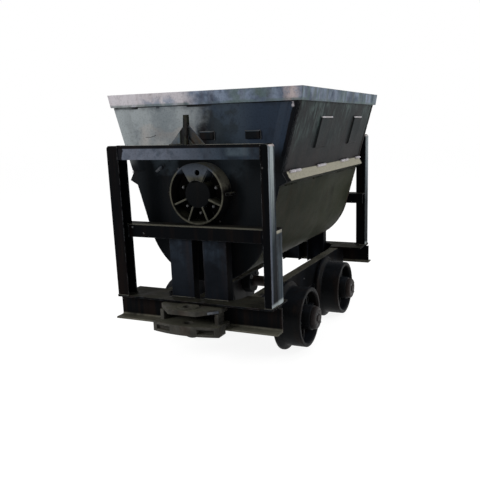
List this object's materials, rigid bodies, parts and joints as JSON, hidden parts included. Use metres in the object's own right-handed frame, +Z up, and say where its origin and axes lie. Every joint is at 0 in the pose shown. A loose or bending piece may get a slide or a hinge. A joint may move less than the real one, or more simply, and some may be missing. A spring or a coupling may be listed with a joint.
{
  "type": "side-tipping mine car",
  "caption": "Small rail-bound ore car: round-bottomed side-tipping hopper on two roll rings, carried between end portals on a steel frame with flanged wheels.",
  "frame": {"origin": "under the middle of the car, level with the lowest points of the wheel flanges, one flange height below the rail tops", "axes": "+Y along the track towards the rear end, +X to the right seen from the front end, +Z up"},
  "size_m": [0.98, 1.74, 1.272],
  "materials": {
    "frame_paint": "worn satin",
    "hopper_paint": "worn matt",
    "rim_paint": "worn matt",
    "ring_casting": "worn",
    "wheel_casting": "oily",
    "bumper_casting": "dusty",
    "axle_steel": "dull"
  },
  "bodies": {
    "chassis": {"end_beam_f": "frame_paint", "end_beam_r": "frame_paint", "long_beam_l": "frame_paint", "long_beam_r": "frame_paint", "corner_gussets": "frame_paint", "portal_posts_f": "frame_paint", "portal_posts_r": "frame_paint", "top_beam_f": "frame_paint", "top_beam_r": "frame_paint", "crossbar_f": "frame_paint", "crossbar_r": "frame_paint", "inner_post_f": "frame_paint", "inner_post_r": "frame_paint", "pedestal_f": "frame_paint", "pedestal_r": "frame_paint", "top_brackets": "frame_paint", "bumper_plate_f": "frame_paint", "bumper_plate_r": "frame_paint", "bumper_block_f": "bumper_casting", "bumper_block_r": "bumper_casting", "axle_seats": "wheel_casting"},
    "hopper": {"hopper_trough": "hopper_paint", "side_sheet_l": "hopper_paint", "side_sheet_r": "hopper_paint", "end_plate_f": "hopper_paint", "end_plate_r": "hopper_paint", "knee_angle_l": "hopper_paint", "knee_angle_r": "hopper_paint", "rim_side_l": "rim_paint", "rim_side_r": "rim_paint", "rim_end_f": "rim_paint", "rim_end_r": "rim_paint", "corner_strips": "hopper_paint", "side_stiffeners": "hopper_paint", "end_pads": "hopper_paint", "roll_ring_f": "ring_casting", "roll_ring_r": "ring_casting"},
    "wheelset_f": {"axle_f": "axle_steel", "wheels_f": "wheel_casting", "hub_caps_f": "wheel_casting"},
    "wheelset_r": {"axle_r": "axle_steel", "wheels_r": "wheel_casting", "hub_caps_r": "wheel_casting"}
  },
  "joints": [
    {"name": "hopper_tip", "type": "hinge", "parent": "chassis", "child": "hopper", "pos_m": [0, 0, 0.825], "axis": [0, 1, 0], "range_deg": [-40, 40]},
    {"name": "wheels_front", "type": "hinge", "parent": "chassis", "child": "wheelset_f", "pos_m": [0, -0.3, 0.175], "axis": [1, 0, 0], "continuous": true},
    {"name": "wheels_rear", "type": "hinge", "parent": "chassis", "child": "wheelset_r", "pos_m": [0, 0.3, 0.175], "axis": [1, 0, 0], "continuous": true}
  ]
}
